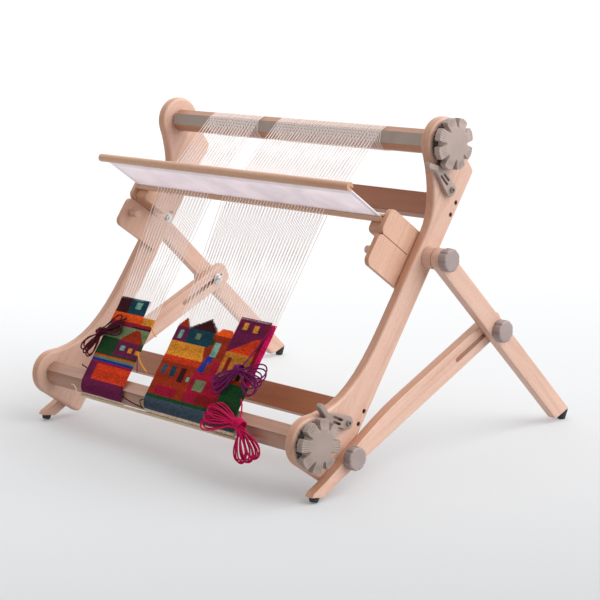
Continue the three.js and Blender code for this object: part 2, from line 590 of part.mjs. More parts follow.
function woundWarp({ beam: [x0, x1] }) {
  const tube = rod(WRAP_INNER + WARP_THICKNESS, x0, x1, [0, 0], 32);
  return cut(tube, rod(WRAP_INNER, x0 - 1, x1 + 1, [0, 0], 32));
}

for (const [name, group] of Object.entries(GROUPS)) {
  add(framePlane, `tapestry_${name}`, tapestry(group), 0x7a2230, 0.95);
  add(framePlane, `warp_${name}`, warp(group), 0xe9e2dc, 0.9);
  add(warpBeamPlane, `wound_warp_${name}`, woundWarp(group), 0xe9e2dc, 0.9);
}

// ---- Yarn butterflies ----
// One side of a bow: narrow at the waist, widest two thirds of the way out.
function wing(waist, { tip, width }) {
  const from = new THREE.Vector3(...waist);
  const to = new THREE.Vector3(...tip);
  const across = new THREE.Vector3(to.y - from.y, from.x - to.x, 0).normalize();
  const { width: narrow, thickness } = WAIST_OF_BOW;
  const points = [[0, narrow], [0.65, width], [1, width * 0.55]].flatMap(([share, wide]) => {
    const centre = from.clone().lerp(to, share);
    return [[-1, -1], [-1, 1], [1, -1], [1, 1]].map(([i, j]) =>
      centre.clone().addScaledVector(across, i * wide / 2).add(new THREE.Vector3(0, 0, j * thickness / 2)));
  });
  return new ConvexGeometry(points);
}

function yarnRun(route) {
  const path = new THREE.CatmullRomCurve3(route.map((point) => new THREE.Vector3(...point)));
  const ring = Array.from({ length: 8 }, (_, i) =>
    [YARN_RADIUS * Math.cos(i * Math.PI / 4), YARN_RADIUS * Math.sin(i * Math.PI / 4)]);
  const steps = Math.ceil(path.getLength() / (5 * YARN_RADIUS));
  return new THREE.ExtrudeGeometry(polygon(ring), { steps, bevelEnabled: false, extrudePath: path });
}

for (const [name, { color, run, waist, wings }] of Object.entries(YARNS)) {
  const bow = join(...wings.map((side) => wing(waist, side)));
  add(framePlane, `yarn_${name}_butterfly`, bow, color, 0.95);
  add(framePlane, `yarn_${name}_run`, cut(yarnRun(run), bow), color, 0.95);
}

export default loom;
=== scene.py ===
"""Looks of the tilted tapestry loom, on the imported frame. Metres, +Z up, +Y away from the weaver."""

import math

import bmesh
import bpy
import numpy as np
from mathutils import Matrix, Vector, noise


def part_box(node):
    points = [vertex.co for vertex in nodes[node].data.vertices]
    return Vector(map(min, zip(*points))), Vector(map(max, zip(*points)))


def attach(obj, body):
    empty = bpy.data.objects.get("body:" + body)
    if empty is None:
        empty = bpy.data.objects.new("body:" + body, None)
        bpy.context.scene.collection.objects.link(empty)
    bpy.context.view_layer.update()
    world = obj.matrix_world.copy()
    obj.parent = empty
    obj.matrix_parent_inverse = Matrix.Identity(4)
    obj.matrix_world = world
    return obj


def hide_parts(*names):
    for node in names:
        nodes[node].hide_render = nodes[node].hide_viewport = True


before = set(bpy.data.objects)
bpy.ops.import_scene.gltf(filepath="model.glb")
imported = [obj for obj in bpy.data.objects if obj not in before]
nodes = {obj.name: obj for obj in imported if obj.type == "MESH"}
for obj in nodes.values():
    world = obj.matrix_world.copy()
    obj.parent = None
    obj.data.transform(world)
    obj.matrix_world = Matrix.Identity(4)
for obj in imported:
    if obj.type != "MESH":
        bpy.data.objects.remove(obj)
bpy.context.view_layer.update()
MM = 0.001

# -------- the loom's own places
FRAME_SLOPE, BRACE_SLOPE, LEG_SLOPE = 53.2, 22.2, -45.65  # degrees, rising away from the weaver
LEAN = math.radians(FRAME_SLOPE)
HEEL = Vector((0, -247.8, 4.7))  # lower rear corner of the side frames, mm
UP_FRAME = Vector((0, math.cos(LEAN), math.sin(LEAN)))
FORWARD = Vector((0, -math.sin(LEAN), math.cos(LEAN)))
WARP_BEAM = (600.5, 93.5)  # beam axes and the reed's lower bar, along and in front of the frame
CLOTH_BEAM = (41.5, 94.5)
REED = (435.5, 123.7)
REED_HEIGHT = 105.2
FACET_TILT = math.radians(22)  # the warp beam's strip facet, turned down from the frame's forward normal
BEAM_HALF = 20  # from a beam's axis to its flats
STRIP_TOP, STRIP_HALF = 22.8, 10.5  # the warp beam's strip: its top from the axis, and half its width
WRAP_INNER = 25.4  # from the cloth beam's axis to the back of the cloth
CLOTH_THICKNESS = 2.4
CLOTH_FRONT = CLOTH_BEAM[1] + WRAP_INNER + CLOTH_THICKNESS
THREAD_PITCH = 3.4
THREAD_RADIUS = 0.62
THREAD_SIDES = 5
WOUND_RADIUS = 0.64  # of the turns on the warp beam
WOUND_SLIP = 7.0  # how far a wound turn steps sideways
HOLE_SHED, SLOT_SHED = 2.6, 11.6  # heights in the reed of the threads in its holes and its slots
LEAVING = (0.8, 25.5)  # where the free threads leave the warp beam, from its axis
WEFT_PITCH = 1.9
WRAP_TURN = 1.37  # radians that the cloth goes round its beam
HEADING = 7.5  # where the heading cord lies, along the cloth
WHEEL_TURNS = {"warp_beam": 84.7, "cloth_beam": 98.7}  # degrees from level to a notch of each handwheel
CROSSBAR_MIDDLES = {"upper": 520.2, "lower": 125.2}
SCREW_SPACING = 23.4
SCREW_SETBACK = 11.5


def place(x, s, n):
    """A point given across the loom, up along its frames and forward of them, in mm."""
    return (HEEL + Vector((x, 0, 0)) + s * UP_FRAME + n * FORWARD) * MM


def add_object(name, data):
    thing = bpy.data.objects.new(name, data)
    bpy.context.scene.collection.objects.link(thing)
    return thing


def preset(node, values):
    """Sets a node's inputs by name."""
    for key, value in values.items():
        node.inputs[key].default_value = value


# -------- camera, stage and lights
def make_camera():
    """The photo's viewpoint, solved from the loom's straight edges. Angles in radians."""
    data = bpy.data.cameras.new("camera")
    data.lens = 96.54
    data.sensor_width = 36
    camera = add_object("camera", data)
    turn, dip, roll = 0.79355, 0.21460, -0.02488
    right = Vector((math.cos(turn), math.sin(turn), 0))
    ahead = Vector((-math.sin(turn) * math.cos(dip), math.cos(turn) * math.cos(dip), -math.sin(dip)))
    above = right.cross(ahead)
    across = math.cos(roll) * right + math.sin(roll) * above
    upward = -math.sin(roll) * right + math.cos(roll) * above
    axes = Matrix((across, upward, -ahead)).transposed()
    camera.matrix_world = Matrix.Translation((2.0934, -2.0315, 0.8656)) @ axes.to_4x4()
    bpy.context.scene.camera = camera


def sun(name, toward, strength, spread, color=(1, 1, 1)):
    """A soft distant light; toward points from the loom to the light, spread in degrees."""
    data = bpy.data.lights.new(name, "SUN")
    data.energy = strength
    data.angle = math.radians(spread)
    data.color = color
    light = add_object(name, data)
    light.rotation_euler = Vector(toward).to_track_quat("Z", "Y").to_euler()


def make_studio_world():
    """A white backdrop, seen and reflected, with a dimmer warm light from all round on the loom."""
    world = bpy.data.worlds.new("studio")
    world.use_nodes = True
    tree = world.node_tree
    around = tree.nodes["Background"]
    preset(around, {"Color": (1.0, 0.86, 0.78, 1), "Strength": 0.3})
    backdrop = tree.nodes.new("ShaderNodeBackground")
    preset(backdrop, {"Color": (1, 1, 1, 1)})
    seen = tree.nodes.new("ShaderNodeLightPath")
    bright = tree.nodes.new("ShaderNodeMath")
    bright.operation = "MAXIMUM"
    choose = tree.nodes.new("ShaderNodeMixShader")
    for source, target in (
            (seen.outputs["Is Camera Ray"], bright.inputs[0]),
            (seen.outputs["Is Glossy Ray"], bright.inputs[1]),
            (bright.outputs["Value"], choose.inputs["Fac"]),
            (around.outputs["Background"], choose.inputs[1]),
            (backdrop.outputs["Background"], choose.inputs[2]),
            (choose.outputs["Shader"], tree.nodes["World Output"].inputs["Surface"])):
        tree.links.new(source, target)
    bpy.context.scene.world = world


# The floor's tones, painted shade that greys it towards the camera: 0.5 is under the loom, and each 0.25
# more is a metre further from the camera.
FLOOR_TONES = [
    (0.28, (0.444, 0.464, 0.48)), (0.385, (0.505, 0.526, 0.543)), (0.56, (0.56, 0.582, 0.60)),
    (0.8, (0.61, 0.63, 0.645)), (0.95, (0.66, 0.675, 0.69)),
]


def make_stage():
    mesh = bpy.data.meshes.new("floor")
    half = 60
    corners = [(-half, -half, 0), (half, -half, 0), (half, half, 0), (-half, half, 0)]
    mesh.from_pydata(corners, [], [(0, 1, 2, 3)])
    floor = add_object("floor", mesh)
    floor.location.z = -0.5 * MM
    shader = Shader("floor", (0.9, 0.9, 0.9), 0.9)
    turn = (0, 0, math.radians(-135))
    depth = shader.mapped(rotation=turn, scale=(0.25, 0.25, 0.25), location=(0.5, 0, 0))
    away = shader.add("ShaderNodeSeparateXYZ")
    shader.link(depth, away.inputs["Vector"])
    shade = shader.ramp(away.outputs["X"], FLOOR_TONES)
    shader.paint(shade)
    # The floor also glows in the same tones, a painted glow that lifts the shadows on it.
    shader.link(shade, shader.out.inputs["Emission Color"])
    preset(shader.out, {"Emission Strength": 0.3})
    floor.data.materials.append(shader.material)
    make_studio_world()
    sun("key", (0.72, 0.42, 0.55), 2.4, 70)
    sun("top", (-0.12, 0.45, 0.88), 1.9, 130)


# -------- materials
class Shader:
    """A material with short ways to add and join nodes."""

    def __init__(self, name, color, roughness, metallic=0.0):
        self.material = bpy.data.materials.new(name)
        self.material.use_nodes = True
        self.tree = self.material.node_tree
        self.out = self.tree.nodes["Principled BSDF"]
        preset(self.out, {"Base Color": (*color, 1), "Roughness": roughness, "Metallic": metallic})
        self.where = self.add("ShaderNodeTexCoord").outputs["Object"]

    def add(self, kind, **values):
        node = self.tree.nodes.new(kind)
        for key, value in values.items():
            setattr(node, key, value)
        return node

    def link(self, source, target):
        self.tree.links.new(source, target)

    def paint(self, color):
        self.link(color, self.out.inputs["Base Color"])

    def mapped(self, scale=(1, 1, 1), rotation=(0, 0, 0), location=(0, 0, 0)):
        """Places turned first, then stretched and shifted."""
        turn = self.add("ShaderNodeMapping")
        preset(turn, {"Rotation": rotation})
        stretch = self.add("ShaderNodeMapping")
        preset(stretch, {"Scale": scale, "Location": location})
        self.link(self.where, turn.inputs["Vector"])
        self.link(turn.outputs["Vector"], stretch.inputs["Vector"])
        return stretch.outputs["Vector"]

    def noise(self, vector, scale, detail=3.0, distortion=0.0):
        node = self.add("ShaderNodeTexNoise")
        preset(node, {"Scale": scale, "Detail": detail, "Distortion": distortion})
        self.link(vector, node.inputs["Vector"])
        return node.outputs["Fac"]

    def ramp(self, value, stops):
        node = self.add("ShaderNodeValToRGB")
        ramp = node.color_ramp
        while len(ramp.elements) < len(stops):
            ramp.elements.new(0.5)
        for element, (position, color) in zip(ramp.elements, stops):
            element.position = position
            element.color = (*color, 1)
        self.link(value, node.inputs["Fac"])
        return node.outputs["Color"]

    def mix(self, a, b, factor, blend="MIX"):
        node = self.add("ShaderNodeMix", data_type="RGBA", blend_type=blend)
        for source, index in ((factor, 0), (a, 6), (b, 7)):
            if isinstance(source, (int, float)):
                node.inputs[index].default_value = source
            elif isinstance(source, tuple):
                node.inputs[index].default_value = (*source, 1)
            else:
                self.link(source, node.inputs[index])
        return node.outputs[2]

    def bump(self, height, strength, distance):
        node = self.add("ShaderNodeBump")
        preset(node, {"Strength": strength, "Distance": distance})
        self.link(height, node.inputs["Height"])
        self.link(node.outputs["Normal"], self.out.inputs["Normal"])

    def vary_roughness(self, value, low, high):
        node = self.add("ShaderNodeMapRange")
        preset(node, {"To Min": low, "To Max": high})
        self.link(value, node.inputs["Value"])
        self.link(node.outputs["Result"], self.out.inputs["Roughness"])


def wood(name, along, light, seed, edge_shade=1.0):
    """Beech: faint long figure, short dark ray flecks and fine pores along the board. along turns the
    board onto X, and its edge argument darkens the faces that don't look sideways, as painted shade."""
    shader = Shader(name, light, 0.42)
    shift = (seed, seed * 0.7, seed * 0.3)
    figure = shader.noise(shader.mapped((2.4, 34, 34), along, shift), 1.6, 4, 0.6)
    streaks = shader.noise(shader.mapped((6, 190, 190), along, shift), 1.0, 3)
    flecks = shader.noise(shader.mapped((150, 1100, 1100), along, shift), 1.0, 2)
    dark = (light[0] * 0.9, light[1] * 0.83, light[2] * 0.78)
    bright = tuple(min(1, c * 1.05) for c in light)
    base = shader.ramp(figure, [(0.3, dark), (0.5, light), (0.72, bright)])
    streak = shader.ramp(streaks, [(0.35, (0.93, 0.89, 0.86)), (0.6, (1, 1, 1))])
    fleck = shader.ramp(flecks, [(0.54, (1, 1, 1)), (0.68, (0.8, 0.7, 0.62))])
    color = shader.mix(shader.mix(base, streak, 0.8, "MULTIPLY"), fleck, 0.6, "MULTIPLY")
    # Painted shade: the faces that don't look sideways are darkened.
    if edge_shade < 1:
        split = shader.add("ShaderNodeSeparateXYZ")
        shader.link(shader.add("ShaderNodeTexCoord").outputs["Normal"], split.inputs[0])
        sideways = shader.add("ShaderNodeMath", operation="ABSOLUTE")
        shader.link(split.outputs["X"], sideways.inputs[0])
        tone = (edge_shade, edge_shade * 0.84, edge_shade * 0.7)
        edges = shader.ramp(sideways.outputs[0], [(0.3, tone), (0.85, (1, 1, 1))])
        color = shader.mix(color, edges, 1.0, "MULTIPLY")
    shader.paint(color)
    shader.vary_roughness(figure, 0.36, 0.5)
    shader.bump(flecks, 0.15, 0.0003)
    preset(shader.out, {"Coat Weight": 0.1, "Coat Roughness": 0.35})
    return shader.material


def moulded(name, color, roughness=0.5):
    """Moulded plastic: a fine spark-eroded texture, faint flow marks and scuffed edges."""
    shader = Shader(name, color, roughness)
    fine = shader.noise(shader.where, 2600, 2)
    flow = shader.noise(shader.where, 22, 3, 0.5)
    worn = shader.noise(shader.where, 160, 4)
    tint = shader.ramp(flow, [(0.3, tuple(c * 0.9 for c in color)), (0.7, tuple(c * 1.08 for c in color))])
    scuff = shader.ramp(worn, [(0.62, (1, 1, 1)), (0.8, (1.12, 1.12, 1.12))])
    shader.paint(shader.mix(tint, scuff, 0.5, "MULTIPLY"))
    shader.vary_roughness(worn, roughness - 0.08, roughness + 0.1)
    shader.bump(fine, 0.25, 0.00015)
    return shader.material


def zinc(name):
    shader = Shader(name, (0.62, 0.63, 0.65), 0.3, 1.0)
    brushed = shader.noise(shader.mapped((4000, 300, 300)), 1.0, 2)
    cloud = shader.noise(shader.where, 240, 3)
    shader.paint(shader.ramp(cloud, [(0.3, (0.52, 0.53, 0.55)), (0.7, (0.7, 0.71, 0.72))]))
    shader.vary_roughness(brushed, 0.22, 0.42)
    shader.bump(brushed, 0.08, 0.0001)
    return shader.material


def rubber(name):
    shader = Shader(name, (0.018, 0.018, 0.02), 0.75)
    fine = shader.noise(shader.where, 1800, 3)
    dust = shader.noise(shader.where, 90, 4)
    shader.paint(shader.ramp(dust, [(0.5, (0.016, 0.016, 0.018)), (0.8, (0.05, 0.048, 0.046))]))
    shader.vary_roughness(dust, 0.62, 0.85)
    shader.bump(fine, 0.3, 0.0002)
    return shader.material


def spun(name, color, scale, tint, color_attribute=None):
    """Spun fibre: mottled colour, a hairy bump and a faint sheen."""
    shader = Shader(name, color, 0.95)
    fibre = shader.noise(shader.where, scale * 3, 4, 0.8)
    mottle = shader.noise(shader.where, scale * 0.5, 3)
    shade = shader.ramp(mottle, [(0.3, (1 - tint,) * 3), (0.7, (1 + tint,) * 3)])
    base = tuple(color)
    if color_attribute:
        base = shader.add("ShaderNodeVertexColor", layer_name=color_attribute).outputs["Color"]
    shader.paint(shader.mix(base, shade, 1.0, "MULTIPLY"))
    shader.bump(fibre, 0.5, 0.0004)
    preset(shader.out, {"Specular IOR Level": 0.15, "Sheen Weight": 0.04, "Sheen Roughness": 0.5})
    return shader.material


EDGE_SHADE = 0.86  # painted shade on the narrow faces of the side frames, brackets and rests
BEECH = (0.655, 0.432, 0.342)
WARM_BEECH = (0.66, 0.41, 0.30)
# Beams: their own redder beech, darkened further as painted shade.
SHADED_BEAM_BEECH = {"warp_beam": (0.47, 0.235, 0.135), "cloth_beam": (0.42, 0.23, 0.16)}
# Crossbars: browner beech, darkened further as painted shade, the upper one most.
SHADED_BAR_BEECH = {"crossbar_upper": (0.345, 0.14, 0.07), "crossbar_lower": (0.45, 0.19, 0.095)}
ALONG_X = (0, 0, 0)


def sloped(degrees):
    """The turn that brings a board sloping up away from the weaver onto X."""
    return (math.radians(-degrees), 0, math.radians(-90))


def srgb(code):
    """The linear colour of a six-digit shade."""
    parts = [int(code[i:i + 2], 16) / 255 for i in (0, 2, 4)]
    return tuple(p / 12.92 if p <= 0.04045 else ((p + 0.055) / 1.055) ** 2.4 for p in parts)


# -------- mesh helpers
def new_piece(name, points, faces, material, body, smooth=True, slot=None):
    """A closed mesh, in metres, riding on a body."""
    mesh = bpy.data.meshes.new(name)
    mesh.from_pydata([tuple(p) for p in points], [], faces)
    shaped = bmesh.new()
    shaped.from_mesh(mesh)
    bmesh.ops.delete(shaped, geom=[v for v in shaped.verts if not v.link_faces], context="VERTS")
    bmesh.ops.recalc_face_normals(shaped, faces=shaped.faces)
    shaped.to_mesh(mesh)
    shaped.free()
    mesh.materials.append(material)
    if smooth:
        mesh.shade_smooth()
        mesh.set_sharp_from_angle(angle=math.radians(40))
    piece = add_object(name, mesh)
    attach(piece, body)
    return piece


def soften(mesh, angle):
    """Shades a faceted CAD mesh smooth across its shallow edges, with its points left as they are."""
    count = len(mesh.loops)
    loop_vertex = np.empty(count, np.int32)
    mesh.loops.foreach_get("vertex_index", loop_vertex)
    points = np.empty(len(mesh.vertices) * 3)
    mesh.vertices.foreach_get("co", points)
    keys = np.round(points.reshape(-1, 3) * 2e5).astype(np.int64)
    _, spot = np.unique(keys, axis=0, return_inverse=True)
    spot = spot.reshape(-1)
    at_spot = {}
    face_normal, face_area, face_of_loop = [], [], np.empty(count, np.int32)
    for face in mesh.polygons:
        face_normal.append(face.normal[:])
        face_area.append(face.area)
        for loop in face.loop_indices:
            face_of_loop[loop] = face.index
            at_spot.setdefault(spot[loop_vertex[loop]], set()).add(face.index)
    face_normal, face_area = np.array(face_normal), np.array(face_area)
    least = math.cos(math.radians(angle))
    normals = np.empty((count, 3))
    for loop in range(count):
        own = face_normal[face_of_loop[loop]]
        near = np.fromiter(at_spot[spot[loop_vertex[loop]]], np.int32)
        near = near[face_normal[near] @ own > least]
        total = (face_normal[near] * face_area[near, None]).sum(0)
        length = np.linalg.norm(total)
        normals[loop] = total / length if length > 1e-12 else own
    mesh.normals_split_custom_set(normals.tolist())


def finish_cad(name, material, angle=32):
    piece = nodes[name]
    piece.data.materials.clear()
    piece.data.materials.append(material)
    soften(piece.data, angle)


def lofted(rings):
    """Points and faces between closed rings of equal count, capped at both ends."""
    count = len(rings[0])
    points = [point for ring in rings for point in ring]
    faces = []
    for i in range(len(rings) - 1):
        for k in range(count):
            a, b = i * count + k, i * count + (k + 1) % count
            faces.append((a, b, b + count, a + count))
    faces.append(tuple(reversed(range(count))))
    faces.append(tuple(range(len(points) - count, len(points))))
    return points, faces


def tube(points, radius, sides=6):
    """Points and faces of a tube along a path, closed at both ends."""
    rings = []
    path = [Vector(p) for p in points]
    up = None
    for i, point in enumerate(path):
        tangent = (path[min(i + 1, len(path) - 1)] - path[max(i - 1, 0)]).normalized()
        if up is None:
            up = tangent.orthogonal().normalized()
        up = (up - tangent * up.dot(tangent)).normalized()
        side = tangent.cross(up)
        angles = [2 * math.pi * k / sides for k in range(sides)]
        rings.append([point + radius * (math.cos(a) * up + math.sin(a) * side) for a in angles])
    return lofted(rings)


def gather(parts):
    """Joins (points, faces) pairs into one."""
    points, faces = [], []
    for more_points, more_faces in parts:
        offset = len(points)
        points.extend(more_points)
        faces.extend(tuple(i + offset for i in face) for face in more_faces)
    return points, faces


# -------- yarn butterflies and loose ends
YARN_RADIUS = 1.35
YARN_STEP = 2.0  # between the points of the finished line
EASING_PASSES = 9
STRAND_PITCH = 2.35  # of the bundled strands at a waist, in yarn radii
TIE_PITCH = 2.3  # of the turns that tie it, in yarn radii
TIE_TURNS, TIE_STEPS = 4, 14
LOOP_STEPS = 17
BOW_DEPTH = 9.0  # over which a wing's loops lie one on another
YARNS = {
    "maroon": {
        "color": "4c0f22",
        "run": [(-174, 169, 124.1), (-186, 160, 125.5), (-198, 148, 128.5), (-208, 138, 131)],
        "waist": (-217, 131, 131),
        "wings": [((-243, 84, 128), 44), ((-166, 160, 130), 36)],
        "loops": 6,
        "far_end": "knot",
    },
    "purple": {
        "color": "741e60",
        "run": [(186, 211, 124.1), (183, 198, 124.2), (175, 170, 124.6), (168, 144, 127), (164, 132, 129)],
        "waist": (162, 123, 131),
        "wings": [((117, 82, 130), 38), ((231, 104, 130), 56)],
        "loops": 7,
        "far_end": "knot",
    },
    "magenta": {
        "color": "c41254",
        "run": [(190, 76, 124.1), (197, 70, 126), (208, 58, 130), (216, 42, 132.5)],
        "waist": (220, 32, 132),
        "wings": [((128, 34, 130), 48), ((248, -23, 99), 54)],
        "loops": 12,
        "far_end": "knot",
    },
}


def packed_spots(count, pitch):
    """Spots a pitch apart, filling a round bundle from its middle."""
    spots = [(i * pitch + (j % 2) * pitch / 2, j * pitch * 0.87) for i in range(-5, 6) for j in range(-5, 6)]
    return sorted(spots, key=lambda spot: (math.hypot(*spot), math.atan2(*spot)))[:count]


def bow_path(yarn):
    """The run from the cloth, loops out to one wing and the other in turn, then turns round the waist."""
    waist = Vector(yarn["waist"])
    loops = yarn["loops"]
    outward = Vector((0, 0, 1))
    axis = (Vector(yarn["wings"][1][0]) - Vector(yarn["wings"][0][0])).normalized()
    across = outward.cross(axis).normalized()
    normal = axis.cross(across)
    spots = packed_spots(2 * loops, STRAND_PITCH * YARN_RADIUS)
    path = [Vector(p) for p in yarn["run"]]
    for k in range(loops):
        for side, (tip, width) in enumerate(yarn["wings"]):
            ahead = Vector(tip) - waist
            reach = ahead.length
            ahead.normalize()
            lateral = outward.cross(ahead).normalized()
            rise = ahead.cross(lateral)
            share = k / (loops - 1) - 0.5
            order = ((k * 3) % loops) / (loops - 1) - 0.5
            fan = math.atan2(width * 0.36, reach * 0.75) * 2 * share
            length = reach * (0.98 - 0.16 * abs(order) - 0.05 * side)
            half = width * (0.22 + 0.05 * math.cos(5 * k + side))
            here, there = spots[2 * k + side], spots[min(2 * k + side + 1, 2 * loops - 1)]
            for i in range(1, LOOP_STEPS):
                t = i / LOOP_STEPS
                out = length * math.sin(math.pi * t)
                swing = half * math.sin(2 * math.pi * t) * math.sin(math.pi * t) ** 0.4
                near = max(0.0, 1 - out / (0.3 * reach)) ** 1.5
                spot = here if t < 0.5 else there
                direction = math.cos(fan) * ahead + math.sin(fan) * lateral
                sideways = math.cos(fan) * lateral - math.sin(fan) * ahead
                flat = waist + out * direction + swing * sideways
                layer = rise * (order * BOW_DEPTH * (1 - near))
                bundle = (across * spot[0] + normal * spot[1]) * near
                path.append(flat + layer + bundle)
    wrap = 2.2 * YARN_RADIUS * math.sqrt(2 * loops) * 0.62 + YARN_RADIUS
    for i in range(TIE_TURNS * TIE_STEPS + 1):
        angle = 2 * math.pi * i / TIE_STEPS
        along = (i / TIE_STEPS - TIE_TURNS / 2) * TIE_PITCH * YARN_RADIUS
        path.append(waist + axis * along + wrap * (math.cos(angle) * across + math.sin(angle) * normal))
    return path


def rounded(points, steps):
    """A smooth line through points (centripetal, so it makes no loops)."""
    points = [Vector(p) for p in points]
    ends = [2 * points[0] - points[1], *points, 2 * points[-1] - points[-2]]
    line = []
    for a, b, c, d in zip(ends, ends[1:], ends[2:], ends[3:]):
        t1 = max((b - a).length, 1e-6) ** 0.5
        t2 = t1 + max((c - b).length, 1e-6) ** 0.5
        t3 = t2 + max((d - c).length, 1e-6) ** 0.5
        for i in range(steps):
            t = t1 + (t2 - t1) * i / steps
            p = a.lerp(b, t / t1)
            q = b.lerp(c, (t - t1) / (t2 - t1))
            r = c.lerp(d, (t - t2) / (t3 - t2))
            line.append(p.lerp(q, t / t2).lerp(q.lerp(r, (t - t1) / (t3 - t1)), (t - t1) / (t2 - t1)))
    line.append(points[-1])
    return line


def yarn_curve(name, line, radius, material, body="loom"):
    """A round yarn along a line given in (x, s, n), in mm."""
    data = bpy.data.curves.new(name, "CURVE")
    data.dimensions = "3D"
    data.bevel_depth = radius * MM
    data.bevel_resolution = 2
    data.use_fill_caps = True
    spline = data.splines.new("POLY")
    spline.points.add(len(line) - 1)
    for point, at in zip(spline.points, line):
        point.co = (*place(*at), 1)
    data.materials.append(material)
    piece = add_object(name, data)
    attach(piece, body)
    return piece


def relaxed(line, spacing, passes):
    """The same line with points a spacing apart and its tight bends eased, its ends kept."""
    walked = [0.0]
    for a, b in zip(line, line[1:]):
        walked.append(walked[-1] + (b - a).length)
    count = max(2, round(walked[-1] / spacing))
    wanted = np.linspace(0, walked[-1], count + 1)
    points = np.column_stack([np.interp(wanted, walked, [p[axis] for p in line]) for axis in range(3)])
    for _ in range(passes):
        points[1:-1] = 0.5 * points[1:-1] + 0.25 * (points[:-2] + points[2:])
    return [Vector(p) for p in points]


def make_butterflies():
    for name, yarn in YARNS.items():
        line = relaxed(rounded(bow_path(yarn), 3), YARN_STEP, EASING_PASSES)
        wool = spun(f"{name}_wool", srgb(yarn["color"]), 1200, 0.3)
        piece = yarn_curve(f"{name}_yarn", line, YARN_RADIUS, wool)
        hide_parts(f"yarn_{name}_run", f"yarn_{name}_butterfly")
        place(*yarn["run"][0])


# -------- moulded wheels, knobs and pawls
EDGE_IN, EDGE_DOWN = 0.7, 0.8  # the rounding of a disc's edge, in from the rim and down from the face
EDGE_MIDDLE = (0.2, 0.25)  # a ring part of the way round it
ARC_STEPS = 5


def smooth_step(value):
    value = min(1.0, max(0.0, value))
    return value * value * (3 - 2 * value)


def turned(centre, base, out, rim, face, steps, lobes, samples, phase=0.0, bore=None):
    """A lobed disc about X, in mm. rim(u) is its radius and face(u, r) its thickness across a lobe, u
    from -0.5 to 0.5. steps are the radii of the rings in the middle, then the shares of the way from
    the last of them to the rim."""
    count = lobes * samples

    def ring(radius_at, height_at):
        points = []
        for k in range(count):
            u = (k % samples) / samples - 0.5
            angle = phase + 2 * math.pi * (k / count)
            radius = radius_at(u)
            y, z = centre[0] + radius * math.cos(angle), centre[1] + radius * math.sin(angle)
            points.append(Vector((base + out * height_at(u, radius), y, z)) * MM)
        return points

    inner, shares = steps
    plateau = inner[-1]
    rings = [ring(lambda u, r=r: r, face) for r in inner]
    rings += [ring(lambda u, t=t: plateau + (rim(u) - EDGE_IN - plateau) * t, face) for t in shares]
    rings.append(ring(lambda u: rim(u) - EDGE_MIDDLE[0], lambda u, r: face(u, r) - EDGE_MIDDLE[1]))
    rings.append(ring(rim, lambda u, r: face(u, r) - EDGE_DOWN))
    rings.append(ring(rim, lambda u, r: EDGE_DOWN))
    rings.append(ring(lambda u: rim(u) - EDGE_IN, lambda u, r: 0.0))
    if bore:
        radius, depth = bore
        rings.append(ring(lambda u: radius, lambda u, r: 0.0))
        rings.append(ring(lambda u: radius, lambda u, r: depth))
    return lofted(rings)


def middle_of(node):
    """The middle of a CAD node's box in mm, and its nearest and furthest x from the loom's middle."""
    low, high = (Vector(corner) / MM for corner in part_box(node))
    near, far = sorted((abs(low.x), abs(high.x)))
    return (low + high) / 2, near, far


def make_handwheels(plastics):
    """Eight lobes between deep notches round a flat middle, each scooped, ridged and sunk at its sides."""
    plateau, depth, tip, notch = 26.0, 14.0, 44.2, 34.0
    bore = (7.3, 10.8)

    def rim(u):
        lobe = tip + 0.5 * math.cos(2 * math.pi * u / 0.7)
        return lobe + (notch - lobe) * smooth_step((abs(u) - 0.315) / 0.065)

    def face(u, r):
        scoop = 2.6 * smooth_step((r - plateau) / 15)
        ridges = 0.4 * math.cos(2 * math.pi * 8 * u) * smooth_step((r - 28) / 6) * (abs(u) < 0.31)
        groove = 6.5 * smooth_step((r - 24.5) / 10) * smooth_step((abs(u) - 0.37) / 0.08)
        return depth - scoop + ridges - groove

    shares = [0.1 * i for i in range(1, 11)]
    for beam, plastic in plastics.items():
        middle, near, _ = middle_of(f"{beam}_handwheel")
        wheel = turned(middle.yz, near, 1, rim, face, ([8, 16, 21, 23, 24.5, plateau], shares),
                       8, 32, math.radians(WHEEL_TURNS[beam]), bore)
        piece = new_piece(f"{beam}_wheel", *wheel, plastic, beam, slot="taupe_plastic")
        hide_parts(f"{beam}_handwheel")


def make_knobs(plastic):
    """Eight shallow flutes round a flat face with a chamfered edge."""
    radius, flat, height = 20.0, 17.6, 15.8
    bore = (4.3, 10.8)

    def rim(u):
        return radius - 1.4 * smooth_step((abs(u) - 0.3) / 0.16)

    def face(u, r):
        chamfer = 1.3 * max(0.0, (r - flat) / 2.4)
        flute = 0.7 * smooth_step((abs(u) - 0.32) / 0.15) * smooth_step((r - 16) / 3)
        return height - chamfer - flute

    for kind in ("brace", "leg", "slot"):
        for side in ("left", "right"):
            middle, near, _ = middle_of(f"{kind}_knob_{side}")
            out = 1 if side == "right" else -1
            knob = turned(middle.yz, out * near, out, rim, face,
                          ([3, 9, 13, 16, flat], [0.35, 0.7, 1.0]), 8, 16, bore=bore)
            piece = new_piece(f"{kind}_clamp_knob_{side}", *knob, plastic,
                              f"{kind}_knob_{side}", slot="taupe_plastic")
            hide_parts(f"{kind}_knob_{side}")


def socket_screw(centre, base, out, radius, height, material, name):
    """A round screw head with a hexagon socket."""
    def ring(r, x):
        angles = [math.pi * k / 12 for k in range(24)]
        return [Vector((base + out * x, centre[0] + r(a) * math.cos(a), centre[1] + r(a) * math.sin(a))) * MM
                for a in angles]

    def hexagon(a):
        return 0.46 * radius / math.cos((a + math.pi / 6) % (math.pi / 3) - math.pi / 6)

    rings = [ring(hexagon, height - 0.45 * radius), ring(hexagon, height)]
    rings += [ring(lambda a: 0.86 * radius, height), ring(lambda a: radius, height - 0.14 * radius)]
    rings += [ring(lambda a: radius, 0), ring(lambda a: 0.3 * radius, 0)]
    return new_piece(name, *lofted(rings), material, "loom", slot="steel")


